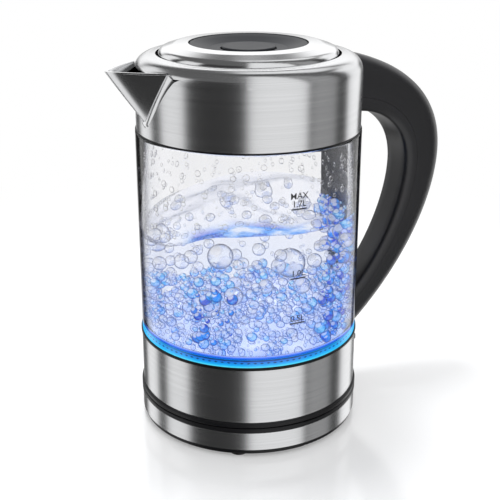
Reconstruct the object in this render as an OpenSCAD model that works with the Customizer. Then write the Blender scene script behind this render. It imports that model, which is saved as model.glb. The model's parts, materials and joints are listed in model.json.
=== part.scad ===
// Glass electric kettle on a 360 degree power base.
// Origin: centre of the plane the feet stand on. +Z up, handle towards +X, spout towards -X.

/* [Power base] */
// How far the base's steel band stands out from the jug's lower shell
base_out = 0.9; // [0:0.1:4]
// Height of the rubber feet below the underside
foot_h = 2.2; // [1:0.2:4]
// Radius of a foot
foot_r = 6; // [4:0.5:8]
// Number of feet
foot_n = 4; // [3:1:6]
// Turn of the first foot from the front
foot_turn = -35; // [-45:1:0]
// Height of the black edge under the steel band
edge_h = 3.2; // [2.4:0.2:6]
// Height of the steel band
band_h = 12.8; // [10:0.2:20]
// Height of the black rim above the band
rim_h = 3.2; // [2.6:0.2:5]
// How far the black rims stand proud of the steel
rim_proud = 0.4; // [0.2:0.1:1]
// Plastic wall of the base and of the covers
wall = 2.4; // [1.8:0.1:3]
// Sheet steel of bands, shell and collar
sheet = 0.8; // [0.5:0.1:1]
// Radius of the connector post in the middle of the base
post_r = 15.8; // [13:0.2:17]
// Height of the connector post above the base
post_h = 12.5; // [10:0.5:15]
// Radius of the hole for the cord
cord_r = 3.5; // [3:0.1:4.5]
// Length of the grommet round the cord
grommet_l = 8; // [6:0.5:12]

/* [Screws] */
// Radius of a cover screw's head
screw_head = 3.1; // [2.6:0.1:3.4]
// Radius of the bosses that the cover screws hold
boss_r = 4.4; // [4:0.1:5]
// Distance of the base's screws from the axis
base_screw_at = 40; // [34:1:46]
// Distance of the jug's screws from the axis
jug_screw_at = 50; // [44:1:54]

/* [Jug bottom] */
// How far the lower steel shell stands out from the glass
shell_out = 0.4; // [0:0.1:1]
// Height of the lower steel shell
shell_h = 37.9; // [34:0.1:48]
// Height of the black ring under the shell
ring_h = 3; // [2.6:0.2:5]
// Height of the black seal between shell and light ring
seal_h = 2; // [1.4:0.1:4]
// How far that seal stands proud of the shell
seal_proud = 0.5; // [0.1:0.1:0.7]
// Height of the light ring
light_h = 5.3; // [4:0.1:8]
// Number of lamps on the light board
lamp_n = 24; // [8:1:36]
// Thickness of the heating plate
plate_t = 2; // [1.5:0.1:2.6]
// Depth of the heating plate's floor below the foot of the glass
plate_drop = 8; // [7:0.5:10]
// Radius of the heating element's ring
element_r = 48; // [40:1:56]
// Radius of the heating element's tube
tube_r = 4; // [3:0.2:4.4]
// Half of the angle left open between the element's ends
element_end = 30; // [20:1:40]
// Width of the control's housing from front to back
control_w = 28; // [24:1:36]
// Length of the control's housing across the jug
control_l = 60; // [50:1:70]

/* [Jug glass] */
// Outside radius of the glass
glass_r = 74; // [68:0.5:80]
// Wall of the glass
glass_wall = 2.6; // [2:0.1:3.2]
// Height of the glass
glass_h = 133.4; // [115:1:160]
// Height of the seal between glass and collar
top_seal_h = 1.1; // [0.8:0.1:2]
// How far that seal reaches down inside the glass
seal_lap = 1.2; // [0.8:0.1:5]

/* [Collar] */
// How far the collar stands in from the glass
collar_in = 0.8; // [0.4:0.1:1.4]
// Height of the collar up to its lip
collar_h = 47.8; // [44:0.2:56]
// Radius of the rounded shoulder
shoulder_r = 10; // [8:0.5:11]
// Rise from the shoulder to the lip
lip_rise = 0.5; // [0.2:0.1:1]
// How far the lid opening lies inside the rounded shoulder
mouth_in = 3.9; // [3:0.1:5]
// Thickness of the plastic liner ring
liner_t = 2.5; // [2:0.1:3]
// Height of the plastic liner ring
liner_h = 11.3; // [10.5:0.1:14]

/* [Spout] */
// Reach of the spout's tip beyond the glass
spout_out = 24.5; // [18:0.5:30]
// Half width of the spout where it leaves the collar
spout_half = 25.5; // [20:0.5:28]
// Height of the spout's rim below the lip
rim_drop = 4; // [3.6:0.2:8]
// Height of the spout from keel to rim at the collar
spout_h = 33; // [26:0.5:36]
// Depth of the collar's opening below the spout's rim
window_drop = 3; // [2:0.5:6]
// Width of the weld flange round the spout
flange_w = 3; // [2:0.5:5]
// Width of one slot in the filter
slot_w = 2; // [1.4:0.2:2.6]
// Number of slots in the filter
slot_n = 9; // [5:1:9]
// Half of the angle that the filter takes round the axis
filter_half = 22; // [18:1:24]
// Thickness of the filter
filter_t = 1.4; // [1:0.1:2]
// Distance of the filter's inner face from the collar's wall
filter_back = 6; // [5:0.5:8]

/* [Lid] */
// Gap between lid and lip
lid_gap = 1.5; // [1.4:0.1:2]
// Height of the lid's top above the lip
lid_rise = 6; // [5.4:0.2:8]
// Radius of the lid's rounded edge
lid_edge = 5; // [4:0.2:5.4]
// Radius of the dark dish in the lid
dish_r = 38.4; // [34:0.2:41]
// Depth of the dish
dish_depth = 3.7; // [3:0.1:4.2]
// Radius of the button
button_r = 17.2; // [14:0.2:19]
// How far the button stands above the dish
button_rise = 1.3; // [0.8:0.1:2]
// Travel of the button and of the latch
travel = 3; // [2:0.2:3.2]
// Distance of the hinge pin from the edge of the lid opening
hinge_in = 10.3; // [10:0.1:11]
// Height of the hinge pin above the lip
hinge_rise = 0.3; // [0.2:0.1:0.5]
// Radius of the eyes round the hinge pin
eye_r = 1.9; // [1.8:0.1:2]
// Distance of the liner's two hinge ears from the middle
ear_at = 10.4; // [10:0.2:12]
// Thickness of a hinge ear
ear_t = 2.6; // [2:0.2:3]
// Radius of the hinge pin
pin_r = 1; // [0.8:0.05:1.1]

/* [Handle] */
// Reach of the handle beyond the glass
handle_out = 83; // [76:0.5:90]
// Half width of the handle at the top
grip_top = 14; // [12:0.5:16]
// Half width of the handle at its foot
grip_foot = 12; // [10:0.5:14]
// Depth of the handle at its widest reach
grip_depth = 34; // [28:0.5:36]
// Share of the depth that the inner cover takes
cover_share = 0.26; // [0.2:0.02:0.36]
// Half angle of the spine behind the glass
spine_half = 13.5; // [11:0.5:15]
// Thickness of the spine
spine_t = 1.9; // [1.4:0.1:2.4]
// Half width of the switch lever
switch_half = 7; // [5:0.5:9]
// Reach of the switch lever beyond the shell
switch_reach = 15; // [10:0.5:20]
// Radius of the switch lever's pivot
pivot_r = 1.5; // [1.2:0.1:2]

/* [Fits] */
// Gap between pieces that lie against each other
gap = 0.3; // [0.2:0.05:0.4]
// Gap between the jug and the base
seat_gap = 0.6; // [0.4:0.1:0.8]
// Radial clearance of a pin in its hole
run = 0.06; // [0.03:0.01:0.09]

/* [Hidden] */
$fn = 96;
tiny = 0.01;

// levels, counted up from the plane the feet stand on
z_under = foot_h;
z_band = z_under + edge_h;
z_rim = z_band + band_h;
z_base = z_rim + rim_h;
z_jug = z_base + seat_gap;
z_shell = z_jug + ring_h;
z_seal = z_shell + shell_h;
z_light = z_seal + seal_h;
z_glass = z_light + light_h;
z_seal2 = z_glass + glass_h;
z_collar = z_seal2 + top_seal_h;
z_lip = z_collar + collar_h;
z_top = z_lip + lid_rise;
z_floor = z_glass - plate_drop;
z_pin = z_lip + hinge_rise;
z_rim_spout = z_lip - rim_drop;
z_keel = z_rim_spout - spout_h;

// radii that follow from the driving sizes
shell_r = glass_r + shell_out;
base_r = shell_r + base_out;
collar_r = glass_r - collar_in;
shoulder_c = collar_r - shoulder_r;
mouth_r = shoulder_c - mouth_in;
spout_reach = glass_r + spout_out;
handle_reach = glass_r + handle_out;
hinge_x = mouth_r - hinge_in;
lid_r = mouth_r - lid_gap;
glass_in = glass_r - glass_wall;
liner_in = mouth_r + gap / 2;
liner_out = liner_in + liner_t;
band_in = base_r - sheet;
frame_out = band_in - gap;
pocket = 1.2;

// screws: shaft, head and the first screw's turn
screw_r = screw_head / 2;
head_h = 2;
head_sink = 0.5;
screw_turn = 60;
boss_low = 2;
z_cord = (z_band + z_rim) / 2;
cord_hole = cord_r + 2 + gap;
shell_in = shell_r - sheet;
socket_r = post_r + gap + 5;
spine_in = shell_r + seal_proud + gap;
spine_out = spine_in + spine_t;

// liner and lid levels
z_liner = z_lip - lip_rise - sheet - 0.6;
z_flange = z_liner - liner_h;
z_dome = z_top - 2.3;
z_skirt = z_dome - lid_edge - 3.3;
z_tray = z_skirt - 4.5;
tray_t = 2;
z_dish = z_top - dish_depth;
z_button = z_dish + button_rise;
z_bolt = z_skirt + 0.2;
bolt_t = 2;
bolt_half = 4;
rail_t = 2;
lug_t = 2.2;
lug_at = ear_at - ear_t / 2 - 2 * gap - lug_t / 2;
spring_half = lug_at - lug_t / 2 - gap;
stem_r = 5;
cone_r = stem_r + travel;

// switch, control and light board levels
z_pivot = z_shell + 10.5;
pivot_x = shell_in - 10;
board_t = 1.4;
z_board = z_floor - plate_t - 4;
element_z = z_floor - plate_t - gap - tube_r;
control_r = socket_r + 4;
z_control = z_jug + post_h + 6;

// handle: an upper and a lower curve for the crown, and the same for the inner face
mid_z = z_glass + 0.75 * glass_h;
crown_up = [
    [collar_r, z_lip - 5], [collar_r + 31, z_lip - 11.5],
    [handle_reach, mid_z + 51.5], [handle_reach, mid_z]
];
crown_down = [
    [handle_reach, mid_z], [handle_reach, mid_z - 38],
    [handle_reach - 27.5, z_glass + 9.5], [spine_out, z_shell + 14]
];
face_x = handle_reach - grip_depth;
face_up = [
    [collar_r, z_collar + 2.4], [collar_r + 27, z_collar + 3.6],
    [face_x, mid_z + 23], [face_x, mid_z - 6]
];
face_down = [
    [face_x, mid_z - 6], [face_x, mid_z - 32],
    [face_x - 15.5, z_glass + 30], [spine_out, z_glass]
];
top_seat = collar_r + 1.5 * gap;
foot_seat = spine_out + 1.5 * gap;
rings_n = 22;
squareness = 2.6;
seam_share = gap / grip_depth;

// ---- shared forms ----

// a ring of rectangular section
module ring(r_in, r_out, z0, z1) {
    rotate_extrude() translate([r_in, z0]) square([r_out - r_in, z1 - z0]);
}

// a ring whose outer edge is fully rounded top and bottom by radius e
module rounded_ring(r_in, r_out, z0, z1, e) {
    rotate_extrude() {
        translate([r_in, z0]) square([r_out - e - r_in, z1 - z0]);
        translate([r_in, z0 + e]) square([r_out - r_in, z1 - z0 - 2 * e]);
        translate([r_out - e, z0 + e]) circle(e, $fn = 32);
        translate([r_out - e, z1 - e]) circle(e, $fn = 32);
    }
}

// copies round the axis
module around(n, r, turn = 0) {
    for (i = [0:n - 1]) rotate([0, 0, turn + i * 360 / n]) translate([r, 0, 0]) children();
}

// a pan head screw that points up from z0 to z1, its head first
module screw(z0, z1) {
    difference() {
        union() {
            translate([0, 0, z0]) cylinder(h = head_h, r = screw_head, $fn = 32);
            translate([0, 0, z0 + tiny]) cylinder(h = z1 - z0 - tiny, r = screw_r, $fn = 32);
        }
        for (a = [0, 90]) translate([0, 0, z0]) rotate([0, 0, a])
            cube([screw_head * 1.2, 0.8, 1.6], center = true);
    }
}

// the hole that a cover screw stands in: its head from below, its shaft above
module screw_hole(z0, z1) {
    cylinder_at(screw_head + gap, z0 - 1, z0 + head_sink + head_h + gap);
    cylinder_at(screw_r + gap / 2, z0 - 1, z1);
}

// a coil of wire along z, swept by rings of points
module coil(r, wire, height, turns) {
    steps = 14 * turns;
    sides = 6;
    points = [
        for (i = [0:steps], j = [0:sides - 1])
            let (a = 360 * i / 14, b = 360 * j / sides, q = r + wire * cos(b))
                [q * cos(a), q * sin(a), wire + (height - 2 * wire) * i / steps + wire * sin(b)]
    ];
    sleeve(points, steps + 1, sides, [r, 0, wire], [r, 0, height - wire]);
}

// the skin over n rings of m points each, closed by a fan round a point at each end
module sleeve(points, n, m, first, last) {
    sides = [
        for (i = [0:n - 2], j = [0:m - 1], half = [0, 1])
            let (a = i * m + j, b = i * m + (j + 1) % m)
                half == 0 ? [a, b, b + m] : [a, b + m, a + m]
    ];
    foot = [for (j = [0:m - 1]) [n * m, (j + 1) % m, j]];
    head = [for (j = [0:m - 1]) [n * m + 1, (n - 1) * m + j, (n - 1) * m + (j + 1) % m]];
    polyhedron(concat(points, [first, last]), concat(foot, sides, head));
}

// ---- power base ----

module base_bottom_cover() color([0.07, 0.07, 0.08]) difference() {
    union() {
        rounded_ring(0, band_in - gap / 2, z_under, z_band, 0.8);
        around(3, base_screw_at, screw_turn) cylinder_at(boss_r, z_under, z_band + boss_low);
    }
    around(foot_n, base_r - 3 - foot_r, foot_turn - 90)
        cylinder_at(foot_r + gap, 0, z_under + pocket);
    around(3, base_screw_at, screw_turn) screw_hole(z_under, z_rim);
}

module base_feet() color([0.1, 0.1, 0.1])
    around(foot_n, base_r - 3 - foot_r, foot_turn - 90)
        cylinder_at(foot_r, 0, z_under + pocket);

module base_screws() color([0.6, 0.6, 0.62])
    around(3, base_screw_at, screw_turn) screw(z_under + head_sink, z_rim - 1.5);

// where the cord passes through: a flat-sided arch, open towards the underside
module cord_notch(x0) {
    reach = base_r + rim_proud - x0;
    translate([x0, 0, z_cord]) rotate([0, 90, 0]) rotate([0, 0, 15])
        cylinder(h = reach, r = cord_hole / cos(15), $fn = 12);
    translate([x0, -cord_hole, z_band - 1]) cube([reach, 2 * cord_hole, z_cord - z_band + 1]);
}

module base_band() color([0.75, 0.76, 0.77]) difference() {
    ring(band_in, base_r, z_band, z_rim);
    cord_notch(band_in - 3);
}

module base_frame() color([0.1, 0.1, 0.11]) difference() {
    core = post_r + 2;
    union() {
        ring(frame_out - wall, frame_out, z_band + gap, z_rim - gap);
        ring(core, core + wall, z_band + gap, z_rim - gap);
        around(3, base_screw_at, screw_turn) cylinder_at(boss_r, z_band + boss_low + gap, z_rim - gap);
        for (i = [0:2]) rotate([0, 0, screw_turn + i * 120]) translate([core + 1, -wall / 2, z_rim - 10])
            cube([frame_out - core - 2, wall, 6]);
    }
    around(3, base_screw_at, screw_turn) cylinder_at(screw_r + gap / 2, z_band, z_rim);
    cord_notch(frame_out - wall - 3);
}

module base_top_cover() color([0.06, 0.06, 0.07]) difference() {
    locator = post_r + 2 + wall + gap;
    union() {
        rounded_ring(0, base_r + rim_proud, z_rim, z_base, 0.7);
        ring(locator, locator + wall, z_rim - 3, z_rim + tiny);
    }
    translate([0, 0, z_base - 1]) ring(post_r + 10, base_r - 12, 0, 2);
    cylinder_at(post_r - 2, z_rim - 1, z_base + 1);
}

module connector_post() color([0.09, 0.09, 0.1]) difference() {
    union() {
        translate([0, 0, z_base]) rounded_ring(0, post_r, 0, post_h, 1.2);
        translate([0, 0, z_base]) cylinder(h = 3, r = post_r);
        translate([0, 0, z_rim - 2]) cylinder(h = rim_h + 2 + tiny, r = post_r - 2 - gap);
    }
    translate([0, 0, z_base + 2]) {
        cylinder(h = post_h, r = 3);
        ring(6, 8.4, 0, post_h);
        ring(10.8, 13.2, 0, post_h);
    }
}

module connector_contacts() color([0.8, 0.62, 0.3]) translate([0, 0, z_base + 2]) {
    cylinder(h = post_h - 4, r = 1.2);
    ring(6, 6.8, 0, post_h - 4);
    ring(10.8, 11.6, 0, post_h - 4);
}

module cord_grommet() color([0.08, 0.08, 0.08]) {
    translate([base_r + 2.4 - grommet_l, 0, z_cord]) rotate([0, 90, 0]) difference() {
        union() {
            cylinder(h = grommet_l, r = cord_r + 2);
            translate([0, 0, grommet_l - 1.6]) cylinder(h = 1.6, r = cord_r + 2.8);
        }
        translate([0, 0, -1]) cylinder(h = grommet_l + 2, r = cord_r);
    }
}

// ---- jug bottom ----

module jug_socket() color([0.12, 0.12, 0.13]) difference() {
    cylinder_at(socket_r, z_jug, z_control);
    cylinder_at(post_r + gap, z_jug - 1, z_base + post_h + 2);
}

// a cylinder between two levels
module cylinder_at(r, z0, z1) {
    translate([0, 0, z0]) cylinder(h = z1 - z0, r = r);
}

module socket_contacts() color([0.8, 0.62, 0.3]) {
    z0 = z_base + 5;
    z1 = z_base + post_h + 2;
    ring(1.5, 2.3, z0, z1);
    ring(7.1, 7.9, z0, z1);
    ring(11.9, 12.7, z0, z1);
}

module bottom_cover() color([0.06, 0.06, 0.07]) difference() {
    union() {
        rounded_ring(0, base_r + rim_proud, z_jug, z_shell, 0.7);
        ring(shell_in - gap - wall, shell_in - gap, z_shell - tiny, z_shell + 8);
        around(3, jug_screw_at, screw_turn) cylinder_at(boss_r, z_shell - tiny, z_shell + 10);
    }
    cylinder_at(socket_r + gap, z_jug - 1, z_shell + 1);
    translate([shell_in - 6, -switch_half - 2, z_shell + 4]) cube([8, 2 * switch_half + 4, 8]);
    around(3, jug_screw_at, screw_turn) screw_hole(z_jug, z_shell + 9);
}

module bottom_screws() color([0.6, 0.6, 0.62])
    around(3, jug_screw_at, screw_turn) screw(z_jug + head_sink, z_shell + 8);

module lower_shell() color([0.75, 0.76, 0.77]) difference() {
    ring(shell_in, shell_r, z_shell, z_seal);
    translate([shell_in - 4, -switch_half - 1, z_pivot - 6]) cube([9, 2 * switch_half + 2, 10]);
}

module foot_seal() color([0.05, 0.05, 0.05])
    rounded_ring(glass_in + 1.6, shell_r + seal_proud, z_seal, z_light, 0.6);

module light_ring() color([0.2, 0.6, 1.0, 0.8]) {
    ring(glass_in, glass_r, z_light, z_glass);
    ring(glass_in, glass_in + 1.3, z_board + board_t + 1.4, z_light + tiny);
}

module light_board() color([0.1, 0.35, 0.2]) {
    ring(glass_in - 6, shell_in - gap, z_board, z_board + board_t);
    around(lamp_n, glass_in - 0.6) translate([-1, -1.2, z_board + board_t - tiny])
        cube([2.2, 2.4, 1.1]);
}

module heating_plate() color([0.8, 0.8, 0.81]) {
    cylinder_at(glass_in - gap, z_floor - plate_t, z_floor);
    ring(glass_in - gap - 0.9, glass_in - gap, z_floor - tiny, z_glass + 1.5);
}

module heating_element() color([0.5, 0.42, 0.38]) {
    rotate([0, 0, element_end]) rotate_extrude(angle = 360 - 2 * element_end)
        translate([element_r, element_z]) circle(tube_r, $fn = 32);
    for (a = [-1, 1]) rotate([0, 0, a * element_end]) translate([element_r, 0, element_z - 3 * tube_r])
        cylinder(h = 3 * tube_r, r = tube_r, $fn = 32);
}

module thermostat_control() color([0.85, 0.83, 0.78]) difference() {
    union() {
        cylinder_at(control_r, z_shell + gap, z_control + 6);
        translate([-control_w / 2, -control_l / 2, z_control]) cube([control_w, control_l, 6]);
    }
    cylinder_at(socket_r + gap, z_jug, z_control + gap);
}

module switch_bracket() color([0.85, 0.83, 0.78]) {
    ear_y = switch_half - 2 + gap;
    for (s = [-1, 1]) difference() {
        translate([pivot_x - 4, s * (ear_y + 1.5) - 1.5, z_shell + 4]) cube([8, 3, z_pivot - z_shell]);
        translate([pivot_x, 0, z_pivot]) rotate([90, 0, 0])
            cylinder(h = shell_r, r = pivot_r + run, center = true);
    }
    translate([control_r + gap, -ear_y - 3, z_shell + gap])
        cube([shell_in - wall - 5 * gap - control_r - gap, 2 * ear_y + 6, 4]);
}

// ---- glass and collar ----

module glass_body() color([0.85, 0.92, 0.95, 0.3]) ring(glass_in, glass_r, z_glass, z_seal2);

module top_seal() color([0.04, 0.04, 0.05]) {
    rounded_ring(glass_in - 1.4, glass_r - 0.1, z_seal2, z_collar, 0.5);
    ring(glass_in - 1.4, glass_in - gap, z_seal2 - seal_lap, z_seal2 + tiny);
}

// half section of the collar: wall, rounded shoulder and lip
module collar_section() {
    translate([collar_r - sheet, z_collar]) square([sheet, z_lip - lip_rise - shoulder_r - z_collar]);
    intersection() {
        translate([shoulder_c, z_lip - lip_rise - shoulder_r]) difference() {
            circle(shoulder_r);
            circle(shoulder_r - sheet);
        }
        translate([shoulder_c, z_lip - lip_rise - shoulder_r]) square(2 * shoulder_r);
    }
    polygon([
        [shoulder_c + tiny, z_lip - lip_rise], [mouth_r + sheet / 2, z_lip],
        [mouth_r + sheet / 2, z_lip - sheet], [shoulder_c + tiny, z_lip - lip_rise - sheet]
    ]);
    translate([mouth_r + sheet / 2, z_lip - sheet / 2]) circle(sheet / 2, $fn = 32);
}

module collar() color([0.75, 0.76, 0.77]) difference() {
    rotate_extrude() collar_section();
    spout_form(-sheet - gap, -window_drop);
}

// everything inside the collar's outer face from z0 up, grown by g
module collar_solid(g, z0) {
    z_bend = z_lip - lip_rise - shoulder_r;
    rotate_extrude() {
        translate([0, z0]) square([collar_r + g, z_bend - z0]);
        translate([0, z0]) square([shoulder_c, z_lip - lip_rise + g - z0]);
        intersection() {
            translate([shoulder_c, z_bend]) circle(shoulder_r + g);
            translate([shoulder_c - tiny, z_bend - tiny]) square(2 * shoulder_r);
        }
    }
}

// the V of the spout, grown by g, its top raised by up; it starts inside the collar's wall
module spout_form(g, up) {
    x_root = collar_r - 12;
    root_half = spout_half * (spout_reach - x_root) / (spout_reach - collar_r);
    root_keel = z_rim_spout - spout_h * (spout_reach - x_root) / (spout_reach - collar_r);
    top = z_rim_spout + up;
    hull() {
        translate([-spout_reach - g, 0, top]) rotate([0, 90, 0]) cylinder(h = tiny, r = tiny, $fn = 8);
        for (s = [-1, 1]) translate([-x_root, s * (root_half + g), top]) cube(tiny, center = true);
        translate([-x_root, 0, root_keel - g + 4]) rotate([0, 90, 0]) cylinder(h = tiny, r = 4, $fn = 32);
    }
}

module spout() color([0.78, 0.79, 0.8]) difference() {
    union() {
        spout_form(0, 0);
        intersection() {
            spout_form(flange_w, 0);
            collar_solid(gap / 2 + sheet, z_collar);
        }
    }
    spout_form(-sheet, 1);
    collar_solid(gap / 2, z_collar - spout_h);
}

module collar_liner() color([0.08, 0.08, 0.09]) difference() {
    web = sqrt(liner_in * liner_in - ear_at * ear_at) - hinge_x + 1;
    union() {
        ring(liner_in, liner_out, z_flange, z_liner);
        ring(liner_in, collar_r - sheet - gap, z_flange, z_flange + 2);
        for (s = [-1, 1]) {
            eye(s * ear_at, ear_t, z_flange);
            translate([hinge_x, s * ear_at - ear_t / 2, z_flange])
                cube([web, ear_t, z_tray - 1 - z_flange]);
        }
    }
    pin_hole();
    translate([-liner_out - 1, -bolt_half - gap, z_bolt - gap])
        cube([liner_t + 3, 2 * (bolt_half + gap), z_lip]);
}

module pin_hole()
    translate([hinge_x, 0, z_pin]) rotate([90, 0, 0]) cylinder(h = 2 * lid_r, r = pin_r + run, center = true);

// a plate of thickness t at y, from the pin down to z0
module eye(y, t, z0) {
    translate([hinge_x, y + t / 2, z_pin]) rotate([90, 0, 0]) cylinder(h = t, r = eye_r);
    translate([hinge_x - eye_r, y - t / 2, z0]) cube([2 * eye_r, t, z_pin - z0]);
}

// the slots that let the ears pass through the rear of the lid
module ear_slots(z0, z1)
    for (s = [-1, 1]) translate([hinge_x - eye_r - 2 * gap, s * ear_at - ear_t / 2 - gap, z0])
        cube([hinge_in + eye_r + 2, ear_t + 2 * gap, z1 - z0]);

module spout_filter() color([0.12, 0.12, 0.13]) {
    r0 = collar_r - sheet - filter_back;
    frame_w = 3;
    z0 = z_collar + frame_w;
    difference() {
        rotate([0, 0, 180 - filter_half]) rotate_extrude(angle = 2 * filter_half)
            translate([r0, z0]) square([filter_t, z_flange - gap - z0]);
        for (i = [0:slot_n - 1])
            rotate([0, 0, 180 + (i - (slot_n - 1) / 2) * 2 * (filter_half - 2) / slot_n])
                translate([r0 - 2, -slot_w / 2, z0 + frame_w])
                    cube([filter_t + 4, slot_w, z_flange - z0 - 3 * frame_w]);
    }
}

// ---- handle ----

function bez(p, t) =
    p[0] * pow(1 - t, 3) + p[1] * 3 * t * pow(1 - t, 2) + p[2] * 3 * t * t * (1 - t) + p[3] * pow(t, 3);
function on_curve(up, down, t) = t < 0.5 ? bez(up, 2 * t) : bez(down, 2 * t - 1);
function power(c) = sign(c) * pow(abs(c), 2 / squareness);

// half sections, as [share of the depth, share of the half width]
shell_section = concat(
    [for (i = [0:14]) let (a = i * 180 / 14) [
        cover_share + (1 - cover_share) * power(sin(a)), power(cos(a))
    ]],
    [for (y = [-0.5, 0, 0.5]) [cover_share, y]]
);
cover_section = concat(
    [for (i = [0:5]) let (a = i * 90 / 5) [
        cover_share * (1 - power(sin(a))) - seam_share, -0.7 - 0.3 * power(cos(a))
    ]],
    [[-seam_share, 0]],
    [for (i = [5:-1:0]) let (a = i * 90 / 5) [
        cover_share * (1 - power(sin(a))) - seam_share, 0.7 + 0.3 * power(cos(a))
    ]],
    [for (y = [0.5, 0, -0.5]) [cover_share - seam_share, y]]
);

// a section swept from the collar to the spine, its ends shaped to their round seats
module grip(section) {
    m = len(section);
    points = [
        for (i = [0:rings_n], k = [0:m - 1])
            let (
                t = i / rings_n,
                inner = on_curve(face_up, face_down, t),
                outer = on_curve(crown_up, crown_down, t),
                half = grip_top + (grip_foot - grip_top) * t,
                y = half * section[k][1],
                p = inner + (outer - inner) * section[k][0],
                seat = i == 0 ? top_seat : foot_seat
            )
                [i == 0 || i == rings_n ? sqrt(seat * seat - y * y) : p[0], y, p[1]]
    ];
    share = (min([for (k = section) k[0]]) + max([for (k = section) k[0]])) / 2;
    first = face_up[0][1] + (crown_up[0][1] - face_up[0][1]) * share;
    last = face_down[3][1] + (crown_down[3][1] - face_down[3][1]) * share;
    sleeve(points, rings_n + 1, m, [top_seat, 0, first], [foot_seat, 0, last]);
}

module handle_shell() color([0.1, 0.1, 0.11]) grip(shell_section);

module handle_cover() color([0.06, 0.06, 0.07]) grip(cover_section);

module handle_spine() color([0.05, 0.05, 0.06])
    rotate([0, 0, -spine_half]) rotate_extrude(angle = 2 * spine_half)
        translate([spine_in, z_pivot + 7]) square([spine_t, z_seal2 - z_pivot - 7]);

module handle_screws() color([0.6, 0.6, 0.62])
    for (z = [z_collar + 12, z_lip - 22])
        translate([collar_r - sheet - 2.4, 0, z]) rotate([0, 90, 0]) cylinder(h = 2.2, r = 3, $fn = 32);

module switch_lever() color([0.12, 0.12, 0.13]) {
    tip = shell_r + switch_reach;
    translate([pivot_x, 0, z_pivot]) rotate([90, 0, 0])
        cylinder(h = 2 * switch_half + 2, r = pivot_r, center = true);
    translate([pivot_x - 3, -switch_half + 2, z_pivot - 3]) cube([tip - pivot_x - 2, 2 * switch_half - 4, 4]);
    translate([tip - 9, 0, z_pivot - 3]) hull() {
        translate([0, -switch_half, 0]) cube([tiny, 2 * switch_half, 4]);
        for (s = [-1, 1]) translate([6, s * (switch_half - 3), 0]) cylinder(h = 3, r = 3, $fn = 32);
    }
}

// ---- lid ----

// the lid's domed outside as a filled half section, set in by g
module lid_section(g) {
    hull() {
        translate([0, z_skirt]) square([lid_r - g, tiny]);
        translate([lid_r - lid_edge, z_dome - lid_edge]) circle(lid_edge - g, $fn = 64);
        translate([dish_r + 8, z_top - 6.3]) circle(6 - g, $fn = 64);
        translate([0, z_skirt]) square([dish_r, z_top - g - z_skirt]);
    }
}

module lid_ring() color([0.8, 0.81, 0.82]) difference() {
    rotate_extrude() difference() {
        lid_section(0);
        translate([0, -tiny]) lid_section(sheet);
        square([dish_r, z_top + 1]);
        square([lid_r + 1, z_skirt]);
    }
    ear_slots(z_skirt - 1, z_pin);
    translate([-lid_r - 1, -bolt_half - gap, z_bolt - gap])
        cube([4, 2 * (bolt_half + gap), bolt_t + 2 * gap]);
}

module lid_dish() color([0.15, 0.15, 0.16]) {
    rotate_extrude() polygon([
        [button_r + gap, z_dish], [dish_r - gap, z_top - 0.2], [dish_r - gap, z_top - 3],
        [button_r + gap + 1.6, z_dish - 2], [button_r + gap + 1.6, z_tray + tray_t + gap + 5],
        [button_r + gap, z_tray + tray_t + gap + 5]
    ]);
}

module lid_tray() color([0.07, 0.07, 0.08]) difference() {
    union() {
        ring(0, lid_r - 0.4, z_tray, z_tray + tray_t);
        ring(lid_r - sheet - gap - 3, lid_r - 0.4, z_tray, z_skirt - 0.1);
        ring(lid_r - sheet - gap - 3, lid_r - sheet - gap, z_tray, z_skirt + 3.4);
        for (s = [-1, 1]) eye(s * lug_at, lug_t, z_tray);
        cylinder_at(stem_r - 1.7 - 1.6, z_tray, z_tray + tray_t + 1.4);
        for (s = [-1, 1]) translate([-lid_r + 6, s * (bolt_half + gap + rail_t / 2) - rail_t / 2, z_tray])
            cube([dish_r - 8, rail_t, z_bolt + bolt_t - z_tray]);
        ring(button_r - 1, button_r + 3, z_tray, z_bolt - gap);
    }
    ring(lid_r - 1.4, lid_r + 1, z_tray + 1, z_tray + 3);
    pin_hole();
    ear_slots(z_tray - 1, z_pin);
    translate([-lid_r - 1, -bolt_half - gap, z_bolt - gap]) cube([9, 2 * (bolt_half + gap), z_lip]);
}

module lid_seal() color([0.6, 0.6, 0.62]) difference() {
    ring(lid_r - 1.4 + gap / 4, mouth_r - 0.4, z_tray + 1 + gap / 2, z_tray + 3 - gap / 2);
    translate([hinge_x, -ear_at - ear_t / 2 - gap, z_tray])
        cube([hinge_in + 1, 2 * ear_at + ear_t + 2 * gap, 4]);
}

module hinge_pin() color([0.7, 0.7, 0.72])
    translate([hinge_x, 0, z_pin]) rotate([90, 0, 0])
        cylinder(h = 2 * ear_at + ear_t - 2 * gap, r = pin_r, center = true, $fn = 48);

module lid_spring() color([0.7, 0.7, 0.72])
    translate([hinge_x, -spring_half, z_pin]) rotate([-90, 0, 0])
        coil(pin_r + 0.6, 0.4, 2 * spring_half, 7);

module lid_button() color([0.17, 0.17, 0.18]) difference() {
    union() {
        rounded_ring(0, button_r, z_button - 3, z_button, 1);
        cylinder_at(stem_r, z_tray + tray_t + travel + gap + 0.2, z_button - 1);
        translate([0, 0, z_bolt + bolt_t + 0.2]) cylinder(h = travel, r1 = stem_r, r2 = cone_r);
        cylinder_at(cone_r, z_bolt + bolt_t + 0.2 + travel - tiny, z_button - 2);
    }
    cylinder_at(stem_r - 1.7, z_tray, z_button - 2);
}

module button_spring() color([0.7, 0.7, 0.72])
    translate([0, 0, z_tray + tray_t]) coil(stem_r - 1.7 - 0.9, 0.45, z_button - 2 - z_tray - tray_t, 6);

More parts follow.
